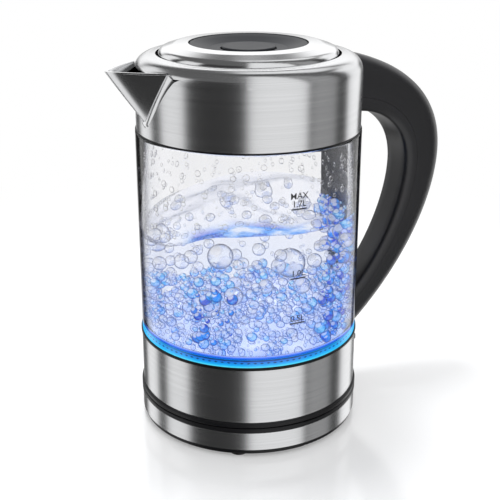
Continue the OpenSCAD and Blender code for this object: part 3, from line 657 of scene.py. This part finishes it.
def buildBubbles(inner):
    random.seed(11)
    foot = low("glass_body").z
    clear, beads, cyan = [], [], []
    for turn, height, size in bigBubbles:
        a = math.radians(turn - 90)
        r = inner - bubbles["bigGap"] - size
        clear.append((polar(r, a, foot + height), (size, size, size * 0.97)))
    for x, y, height, size in risingBubbles:
        z = min(height, water["level"] + surfaceHeight(x, y, inner) - size - bubbles["under"])
        clear.append(((x, y, foot + z), (size, size, size * 0.9)))
    for i in range(bubbles["loose"]):
        size = 0.9 + 3.2 * random.random() ** 2.2
        a = random.uniform(0, math.tau)
        r = (inner - bubbles["looseGap"] - size) * (1 - 0.5 * random.random() ** 2)
        z = foot + random.uniform(40, 70)
        clear.append((polar(r, a, z), (size, size, size * 0.92)))
    for i in range(bubbles["count"]):
        size = bubbles["small"] + (bubbles["large"] - bubbles["small"]) * random.random() ** 2.1
        a = random.uniform(0, math.tau)
        onWall = random.random() < bubbles["wallShare"]
        r = (inner - bubbles["gap"] - size) * (random.uniform(0.9, 1) if onWall else math.sqrt(random.random()))
        heap = bubbles["full"] + 8 * noise.noise(Vector((math.cos(a) * 1.7, math.sin(a) * 1.7, 4.0)))
        heap *= 1 + bubbles["lean"] * r / inner * math.cos(a - math.radians(-90 - cameraView["turn"]))
        z = foot + 1.0 + size + heap * random.random() ** 1.1
        floor = foot - bubbles["panDrop"] + size if r < inner - 6 else foot + 1 + size
        z = max(floor, z - (8 * (1 - r / inner)))
        if sparse(*polar(r, a, z)):
            continue
        share = bubbles["cyan"] * (2.2 if z - foot > 0.62 * heap else 0.5)
        made = cyan if random.random() < share else beads
        made.append((polar(r, a, z), (size, size, size * random.uniform(0.8, 1.0))))
    for i in range(bubbles["pan"]):
        size = 0.6 + 2.4 * random.random() ** 2
        a, r = random.uniform(0, math.tau), (inner - 7) * math.sqrt(random.random())
        z = foot - bubbles["panDrop"] + size + 9 * random.random() ** 2
        if sparse(*polar(r, a, z)):
            continue
        made = cyan if random.random() < 0.1 else beads
        made.append((polar(r, a, z), (size, size, size)))
    # darker ones gather by the handle and to its side
    deep = []
    for first, last, base, top, count in bubbles["dark"]:
        for i in range(count):
            size = 1.0 + 3.4 * random.random() ** 2
            a = math.radians(random.uniform(first, last))
            r = inner - bubbles["gap"] - size - 3 * random.random() ** 2
            z = foot + min(random.uniform(base, top), edgeHeight(math.degrees(a)) - 2 - size)
            made = deep if random.random() < 0.66 else cyan
            made.append((polar(r, a, z), (size, size, size)))
    blobs("risingBubbles", clear, films["air"], "jug", 3)
    blobs("boilingBeads", beads, films["bead"], "jug", 2)
    blobs("litBeads", cyan, films["cyan"], "jug", 2)
    blobs("deepBeads", deep, films["deep"], "jug", 2)


drops = {"count": 460, "small": 0.7, "large": 2.2, "flat": 0.34, "above": 6, "below": 7}


def buildDrops(inner):
    random.seed(5)
    entries = []
    roof = high("glass_body").z
    while len(entries) < drops["count"]:
        size = drops["small"] + (drops["large"] - drops["small"]) * random.random() ** 1.6
        a = random.uniform(0, math.tau)
        floor = low("glass_body").z + edgeHeight(math.degrees(a))
        z = random.uniform(floor + drops["above"], roof - drops["below"])
        r = inner - water["overlap"] - size * drops["flat"] * 0.4
        entries.append((polar(r, a, z), (size * drops["flat"], size, size * 1.08)))
    blobs("condensation", entries, films["drop"], "jug")


buildGlass()
waterEdge = buildWater()
buildBubbles(waterEdge)
buildDrops(waterEdge)
print("glass and water ready")


handle = {
    "topHalf": 14.0, "footHalf": 12.0, "depth": 34.0, "coverShare": 0.26, "square": 2.6,
    "gap": 0.3, "rings": 72, "sides": 22}


def bezier(p, t):
    q = 1 - t
    return [p[0][k] * q ** 3 + 3 * p[1][k] * t * q ** 2 + 3 * p[2][k] * t * t * q + p[3][k] * t ** 3 for k in (0, 1)]


def handleCurves():
    collarR, spineR = reach("collar"), reach("handle_spine")
    lip, collarFoot = high("collar").z, low("collar").z
    foot, roof = low("glass_body").z, high("glass_body").z
    shellFoot = low("lower_shell").z
    tip = high("handle_shell").x
    face = tip - handle["depth"]
    middle = foot + 0.75 * (roof - foot)
    crown = ([(collarR, lip - 5), (collarR + 31, lip - 11.5), (tip, middle + 51.5), (tip, middle)],
             [(tip, middle), (tip, middle - 38), (tip - 27.5, foot + 9.5), (spineR, shellFoot + 14)])
    inside = ([(collarR, collarFoot + 2.4), (collarR + 27, collarFoot + 3.6), (face, middle + 23), (face, middle - 6)],
              [(face, middle - 6), (face, middle - 32), (face - 15.5, foot + 30), (spineR, foot)])
    return crown, inside, collarR + 1.5 * handle["gap"], spineR + 1.5 * handle["gap"]


def power(c):
    return math.copysign(abs(c) ** (2 / handle["square"]), c)


def buildGrip(name, section, replaced):
    crown, inside, topSeat, footSeat = handleCurves()
    rings = handle["rings"]
    points = []
    for i in range(rings + 1):
        t = i / rings
        outer = bezier(crown[0], 2 * t) if t < 0.5 else bezier(crown[1], 2 * t - 1)
        inner = bezier(inside[0], 2 * t) if t < 0.5 else bezier(inside[1], 2 * t - 1)
        half = handle["topHalf"] + (handle["footHalf"] - handle["topHalf"]) * t
        for share, side in section:
            x = inner[0] + (outer[0] - inner[0]) * share
            z = inner[1] + (outer[1] - inner[1]) * share
            y = half * side
            seat = math.sqrt((topSeat if t < 0.5 else footSeat) ** 2 - y * y)
            points.append((seat if i in (0, rings) else max(x, seat), y, z))
    faces = rowFaces(rings + 1, len(section)) + endFaces(rings + 1, len(section))
    piece = makePiece(name, points, faces, "handle_plastic", "jug", replaced)
    cleanMesh(piece, 40)
    return piece


def buildHandle():
    share, n = handle["coverShare"], handle["sides"]
    seam = handle["gap"] / 2 / handle["depth"]
    shell = [(share + (1 - share) * power(math.sin(math.pi * k / n)), power(math.cos(math.pi * k / n)))
             for k in range(n + 1)]
    shell += [(share, y) for y in (-0.6, -0.2, 0.2, 0.6)]
    quarter = [math.pi / 2 * k / 6 for k in range(7)]
    cover = [(share * (1 - power(math.sin(a))) - seam, -0.7 - 0.3 * power(math.cos(a))) for a in quarter]
    cover += [(-seam, y) for y in (-0.35, 0, 0.35)]
    cover += [(share * (1 - power(math.sin(a))) - seam, 0.7 + 0.3 * power(math.cos(a))) for a in reversed(quarter)]
    cover += [(share - seam, y) for y in (0.5, 0, -0.5)]
    buildGrip("handleShell", shell, ["handle_shell"])
    buildGrip("handleCover", cover, ["handle_cover"])


buildHandle()
print("handle ready")


dish = {"edge": 0.6, "slope": 8.0, "groove": 0.3, "buttonGroove": 0.45}


def buildDish():
    outer = reach("lid_dish") - dish["groove"]
    inner = reach("lid_button") + 0.3 + dish["buttonGroove"]
    top, foot = high("lid_dish").z, low("lid_dish").z
    floor = high("lid_button").z - 1.3
    outline = rounded([
        (inner, floor, 0.4), (inner + 7, floor + 0.05, 5), (outer - 5, top - 1.3, dish["slope"]),
        (outer, top, dish["edge"]), (outer, top - 2.8), (inner + 1.6, floor - 2), (inner + 1.6, foot), (inner, foot)])
    turned("dishPlate", outline, "dish_plastic", "lid", ["lid_dish"], 160, sharp=50)


spoutShape = {
    "half": 25.6, "keel": 214.7, "wall": 0.9, "bow": 0.78, "keelBow": 0.93, "halfBow": 0.88, "rows": 26, "across": 20,
    "start": 0.02, "sink": 0.3, "tip": 0.15, "tipInset": 1.6, "flange": 4.2, "thick": 0.8,
    "bandSteps": 40, "bandAcross": 7, "bead": 0.6, "sides": 10, "rimSteps": 24}


# the pouring spout: bowed walls over a rounded keel, a raised band round its root and a rolled rim
def spoutPoint(v, s, inset=0.0):
    shape = spoutShape
    tip, top = low("spout").x + shape["tip"] + inset * shape["tipInset"], high("spout").z
    half = shape["half"] * v ** shape["halfBow"]
    across = max(half - inset, 0.0)
    root = -math.sqrt(reach("collar") ** 2 - half ** 2) + shape["sink"]
    nose = min(-reach("collar") + (tip + reach("collar")) * v ** shape["keelBow"] + inset, root)
    x = nose + (root - nose) * abs(s)
    y = math.copysign(across * abs(s) ** shape["bow"], s)
    return Vector((x, y, shape["keel"] + (top - shape["keel"]) * v))


def buildSpout():
    shape = spoutShape
    rows, n = shape["rows"], shape["across"]
    points, faces = [], []
    for layer, inset in enumerate((0.0, shape["wall"])):
        for i in range(rows + 1):
            v = shape["start"] + (1 - shape["start"]) * i / rows
            for k in range(-n, n + 1):
                points.append(spoutPoint(v, math.copysign((abs(k) / n) ** 1.5, k), inset))
    wide, layerSize = 2 * n + 1, (2 * n + 1) * (rows + 1)
    for layer in range(2):
        faces += shifted(rowFaces(rows + 1, wide, ring=False), layer * layerSize)
    for k in range(2 * n):
        a = rows * wide + k
        faces.append((a, a + 1, a + 1 + layerSize, a + layerSize))
    # the raised band
    steps, m = shape["bandSteps"], shape["bandAcross"]
    path = []
    for k in range(-steps, steps + 1):
        p = spoutPoint(max(0.015, (abs(k) / steps) * 0.985), 1)
        path.append(Vector((math.copysign(p.y, k), p.z)))
    start = len(points)
    for i, p in enumerate(path):
        ahead = path[min(i + 1, 2 * steps)] - path[max(i - 1, 0)]
        out = Vector((ahead.y, -ahead.x)).normalized()
        for j in range(m):
            w = j / (m - 1)
            q = p + out * shape["flange"] * w * (1 + 0.5 * (abs(i - steps) / steps) ** 4) - out * 0.2
            rise = 0.06 + shape["thick"] * math.sin(math.pi * (0.12 + 0.88 * w)) ** 0.7
            a = math.asin(q.x / reach("collar"))
            r = reach("collar") + rise
            points.append(Vector((-r * math.cos(a), r * math.sin(a), q.y)))
    faces += shifted(rowFaces(2 * steps + 1, m, ring=False), start)
    piece = makePiece("spoutShell", points, faces, "polished_steel", "jug", ["spout"])
    cleanMesh(piece, 50)
    # the rolled rim
    points = []
    bead, m, n = shape["bead"], shape["sides"], shape["rimSteps"]
    path = [spoutPoint(1, math.copysign((abs(k) / n) ** 1.5 * 0.97, k), bead) for k in range(-n, n + 1)]
    for i, spot in enumerate(path):
        ahead = path[min(i + 1, 2 * n)] - path[max(i - 1, 0)]
        across = Vector((ahead.y, -ahead.x, 0)).normalized()
        for j in range(m):
            b = math.tau * j / m
            points.append(spot + across * bead * math.cos(b) + Vector((0, 0, bead * (math.sin(b) - 1))))
    faces = rowFaces(len(path), m) + endFaces(len(path), m)
    cleanMesh(makePiece("spoutRim", points, faces, "polished_steel", "jug"), 60)


# the button's coil spring
buttonSpring = {"wire": 0.45, "coils": 6, "steps": 28, "sides": 10, "flat": 0.08, "travel": 3.0}


def buildSpring():
    wire, m, flat = buttonSpring["wire"], buttonSpring["sides"], buttonSpring["flat"]
    base, top, r = low("button_spring").z + wire, high("button_spring").z - wire, reach("button_spring") - wire
    count = buttonSpring["coils"] * buttonSpring["steps"]
    points = []
    for i in range(count + 1):
        share = i / count
        a = math.tau * i / buttonSpring["steps"]
        # the end coils lie flat
        z = base + (top - base) * min(1, max(0, (share - flat) / (1 - 2 * flat)))
        for j in range(m):
            b = math.tau * j / m
            points.append(polar(r + wire * math.cos(b), a, z + wire * math.sin(b)))
    faces = rowFaces(count + 1, m) + endFaces(count + 1, m)
    piece = makePiece("buttonSpring", points, faces, "spring_steel", "lid", ["button_spring"])
    foot, whole = low("button_spring").z, high("button_spring").z - low("button_spring").z
    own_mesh(piece)


baseBand = {"bevel": 0.3, "turnSteps": 240, "archSteps": 24, "archGap": 0.4}


# the base's brushed band, with its arch for the cord
def buildBand():
    base, top, r = low("base_band").z, high("base_band").z, reach("base_band")
    bevel, gap, turns, steps = baseBand["bevel"], baseBand["archGap"], baseBand["turnSteps"], baseBand["archSteps"]
    arch = [v.co / mm for v in nodes["base_band"].data.vertices if base + gap < v.co.z / mm < top - gap]
    half, crown = max(abs(p.y) for p in arch), max(p.z for p in arch)
    inner = min(math.hypot(v.co.x, v.co.y) for v in nodes["base_band"].data.vertices) / mm
    edge = math.asin(half / r)
    columns = [(edge, base)]
    columns += [(edge + (math.tau - 2 * edge) * k / turns, base) for k in range(1, turns)] + [(-edge, base)]
    for k in range(steps + 1):
        t = math.pi * (k / steps - 0.5)
        columns.append((math.asin(half * math.sin(t) / r), crown - half + half * math.cos(t)))
    points = []
    for a, foot in columns:
        section = [(inner, foot), (r - bevel, foot), (r, foot + bevel),
                   (r, top - bevel), (r - bevel, top), (inner, top)]
        points += [polar(q, a, z) for q, z in section]
    faces = rowFaces(len(columns), len(section), closed=True)
    cleanMesh(makePiece("bandWall", points, faces, "brushed_steel", "power_base", ["base_band"]), 30)


buildDish()
buildSpout()
buildBand()
print("lid dish, spout and band ready")


marks = {
    "turn": -5.0, "height": 5.6, "bold": 0.05, "lift": 0.04, "lineLength": 10.5, "lineWidth": 0.9, "lineSteps": 6,
    "wordsUp": 1.9, "fullUp": 6.9,
    "levels": [("1.7L", 98.2), ("1.0L", 53.1), ("0.5L", 22.7)], "full": "MAX"}


# flat lettering in mm at one level
def wrapText(name, words, size, level):
    curve = bpy.data.curves.new(name, "FONT")
    curve.body = words
    curve.size = size
    curve.align_x = "CENTER"
    curve.offset = marks["bold"]
    curve.resolution_u = 4
    made = newObject(name, curve)
    bpy.context.view_layer.update()
    mesh = bpy.data.meshes.new_from_object(made)
    bpy.data.objects.remove(made)
    flat = [(v.co.x, v.co.y + level) for v in mesh.vertices]
    faces = [tuple(p.vertices) for p in mesh.polygons]
    return flat, faces


def buildMarks():
    material, tree, shader = startMaterial("markPrint", 0.5, (0.03, 0.03, 0.035))
    ink = useGroup(tree, moulding, Grain=900.0, Gloss=0.5, Spread=0.1)
    setInputs(tree, shader, {"Roughness": ink.outputs["Rough"]})
    r = reach("glass_body") + marks["lift"]
    foot = low("glass_body").z
    flat, faces = [], []

    def add(morePoints, moreFaces):
        start = len(flat)
        flat.extend(morePoints)
        faces.extend(shifted(moreFaces, start))

    for words, level in marks["levels"]:
        z = foot + level
        length, steps = marks["lineLength"], marks["lineSteps"]
        strip = [(-length / 2 + length * k / steps, z + w) for k in range(steps + 1) for w in (0, marks["lineWidth"])]
        add(strip, [(2 * k, 2 * k + 2, 2 * k + 3, 2 * k + 1) for k in range(steps)])
        add(*wrapText("mark", words, marks["height"], z + marks["wordsUp"]))
    add(*wrapText("mark", marks["full"], marks["height"], foot + marks["levels"][0][1] + marks["fullUp"]))
    points = []
    for across, z in flat:
        a = math.radians(marks["turn"] - 90) + across / r
        points.append(polar(r, a, z))
    makePiece("levelMarks", points, faces, "glass", "jug", material=material, smooth=False)


buildMarks()
print("marks ready")
buildSpring()
print("spring ready")


studio = {
    "floorReach": 4.0, "floorColor": (0.80, 0.805, 0.815), "ambient": 0.46, "lift": 0.30,
    "fade": (0.22, 0.6), "tentRadius": 2.0, "tentCentre": 0.15}
# plain soft panels round the object, seen in its gloss alone: turn from the camera's side to the right, in degrees
panels = [
    {"name": "backLeft", "turn": -170, "width": 20, "level": 0.6},
    {"name": "farLeft", "turn": -125, "width": 20, "level": 1.2},
    {"name": "left", "turn": -80, "width": 25, "level": 1.1},
    {"name": "front", "turn": 30, "width": 55, "level": 1.1},
    {"name": "rightFill", "turn": 80, "width": 25, "level": 0.4},
    {"name": "farRight", "turn": 130, "width": 25, "level": 1.3},
    {"name": "backRight", "turn": 170, "width": 20, "level": 0.6}]
panelSet = {"edge": 6.0, "between": 0.05, "full": 1.5}
# each limit fades in from its first number to its second: across is to the right of the camera's side
overhead = {
    "dark": 0.10, "bright": 0.76, "ahead": (0.16, 0.02), "left": (0.02, -0.06), "above": (0.56, 0.68),
    "limits": [("up", 0.60, 0.72), ("along", -0.70, -0.58), ("along", -0.20, -0.34), ("across", -0.12, 0.0),
               ("across", 0.62, 0.48)]}
behindPanel = {"level": (0.95, 0.95, 0.95), "limits": [("along", -0.70, -0.82), ("up", 0.12, 0.24)]}


# where each panel starts and stops, with a soft edge and a dark gap between panels
def panelStops():
    stops = []
    for panel in panels:
        start, stop = panel["turn"] - panel["width"] / 2, panel["turn"] + panel["width"] / 2
        for place, level in ((start - panelSet["edge"], panelSet["between"]), (start, panel["level"]),
                             (stop, panel["level"]), (stop + panelSet["edge"], panelSet["between"])):
            if -180 <= place <= 180:
                stops.append(((place + 180) / 360, level / panelSet["full"]))
    return stops


# a white floor that keeps the object's shadow and fades to plain white further out
def buildFloor():
    n = 64
    ring = [polar(studio["floorReach"], math.tau * k / n, 0) for k in range(n)]
    floor = newMesh("studioFloor", ring, [tuple(range(n))])
    floor.visible_glossy = False
    material, tree, shader = startMaterial("studioFloor", 0.14, studio["floorColor"], **{
        "Coat Weight": 0.25, "Coat Roughness": 0.12})
    path = addNode(tree, "LightPath")
    seen = math1(tree, "MAXIMUM", path.outputs["Is Camera Ray"], path.outputs["Is Transmission Ray"])
    lift = addNode(tree, "Emission", {"Color": (1, 1, 1), "Strength": math1(tree, "MULTIPLY", seen, studio["lift"])})
    lit = addNode(tree, "AddShader", {0: shader.outputs[0], 1: lift.outputs[0]})
    plain = addNode(tree, "Emission", {"Color": (1, 1, 1), "Strength": seen})
    out = addNode(tree, "VectorMath", {0: objectPlace(tree)}, operation="LENGTH").outputs["Value"]
    far = step(tree, out, *studio["fade"])
    both = addNode(tree, "MixShader", {0: far, 1: lit.outputs[0], 2: plain.outputs[0]})
    setInputs(tree, tree.nodes["Material Output"], {"Surface": both.outputs[0]})
    floor.data.materials.append(material)


def buildTent():
    work = bmesh.new()
    bmesh.ops.create_uvsphere(work, u_segments=64, v_segments=32, radius=studio["tentRadius"])
    tent = newMesh("studioPanels", *takeMesh(work))
    tent.location = (0, 0, studio["tentCentre"])
    for ray in ("camera", "diffuse", "transmission", "volume_scatter", "shadow"):
        setattr(tent, "visible_" + ray, False)
    material = bpy.data.materials.new("studioPanels")
    material.use_nodes = True
    tree = material.node_tree
    tree.nodes.remove(tree.nodes["Principled BSDF"])
    way = addNode(tree, "VectorMath", {0: objectPlace(tree)}, operation="NORMALIZE").outputs[0]
    front = math.radians(-90 - cameraView["turn"])
    along = dotWith(tree, way, (math.cos(front), math.sin(front), 0))
    across = dotWith(tree, way, (-math.sin(front), math.cos(front), 0))
    up = addNode(tree, "SeparateXYZ", {0: way}).outputs[2]
    sides = {"along": along, "across": across, "up": up}
    turn = math1(tree, "ARCTAN2", across, along)
    grey = rowOf(tree, mapped(tree, turn, -math.pi, math.pi), panelStops())
    # above them a dark gap, then the strip overhead and the panel behind
    strip = within(tree, sides, overhead["limits"])
    over = mapped(tree, strip, first=overhead["dark"], last=overhead["bright"])
    gap = math1(tree, "MAXIMUM", step(tree, along, *overhead["ahead"]), step(tree, across, *overhead["left"]))
    gap = math1(tree, "MULTIPLY", gap, step(tree, up, *overhead["above"]))
    behind = within(tree, sides, behindPanel["limits"])
    level = mixColor(tree, gap, grey, over)
    level = mixColor(tree, behind, level, behindPanel["level"])
    glow = addNode(tree, "Emission", {"Color": level, "Strength": panelSet["full"]})
    setInputs(tree, tree.nodes["Material Output"], {"Surface": glow.outputs[0]})
    tent.data.materials.append(material)


# the product of several limits
def within(tree, sides, limits):
    mask = None
    for side, start, stop in limits:
        part = step(tree, sides[side], start, stop)
        mask = part if mask is None else math1(tree, "MULTIPLY", mask, part)
    return mask


# the panels' levels along the turn, as straight lines from stop to stop
def rowOf(tree, factor, stops):
    curve = addNode(tree, "FloatCurve", {"Value": factor})
    line = curve.mapping.curves[0]
    while len(line.points) < len(stops):
        line.points.new(0.5, 0.5)
    for point, (place, level) in zip(line.points, stops):
        point.location = (place, level)
        point.handle_type = "VECTOR"
    curve.mapping.update()
    return curve.outputs[0]


def buildWorld():
    world = bpy.data.worlds.new("studioWorld")
    bpy.context.scene.world = world
    world.use_nodes = True
    tree = world.node_tree
    path = addNode(tree, "LightPath")
    direct = math1(tree, "MAXIMUM", path.outputs["Is Camera Ray"], path.outputs["Is Transmission Ray"])
    amount = mapped(tree, direct, first=studio["ambient"])
    setInputs(tree, tree.nodes["Background"], {"Color": (1, 1, 1), "Strength": amount})


# soft boxes: turn is measured from the camera's side, to the right
softBoxes = [
    {"name": "keyBox", "turn": -138, "lift": 79, "away": 1.2, "size": (0.24, 0.24), "power": 6.0},
    {"name": "topBox", "turn": -20, "lift": 78, "away": 1.5, "size": (2.0, 2.0), "power": 9.0}]


def buildLights():
    for box in softBoxes:
        turn = math.radians(box["turn"] - cameraView["turn"] - 90)
        lift = math.radians(box["lift"])
        light = bpy.data.lights.new(box["name"], "AREA")
        light.shape = "RECTANGLE"
        light.size, light.size_y = box["size"]
        light.energy = box["power"]
        lamp = newObject(box["name"], light)
        spot = Vector((math.cos(turn) * math.cos(lift), math.sin(turn) * math.cos(lift), math.sin(lift)))
        lamp.location = spot * box["away"] + Vector((0, 0, 0.13))
        lamp.rotation_euler = (-spot).to_track_quat("-Z", "Y").to_euler()
        lamp.visible_glossy = False


def buildCamera():
    data = bpy.data.cameras.new("studioCamera")
    camera = newObject("studioCamera", data)
    turn = math.radians(cameraView["turn"])
    away = cameraView["away"]
    camera.location = (-away * math.sin(turn), -away * math.cos(turn), cameraView["height"])
    camera.rotation_euler = (math.radians(90 - cameraView["tilt"]), 0, -turn)
    data.lens = cameraView["lens"]
    data.sensor_width = 36
    data.shift_x = cameraView["shift"]
    data.clip_start = 0.01
    bpy.context.scene.camera = camera


buildFloor()
buildTent()
buildWorld()
buildLights()
buildCamera()
scene = bpy.context.scene
scene.view_settings.view_transform = "Standard"
scene.cycles.max_bounces = 24  # a line of sight passes through glass, water and many bubbles
scene.cycles.transmission_bounces = 20
scene.cycles.transparent_max_bounces = 96
print("studio ready")
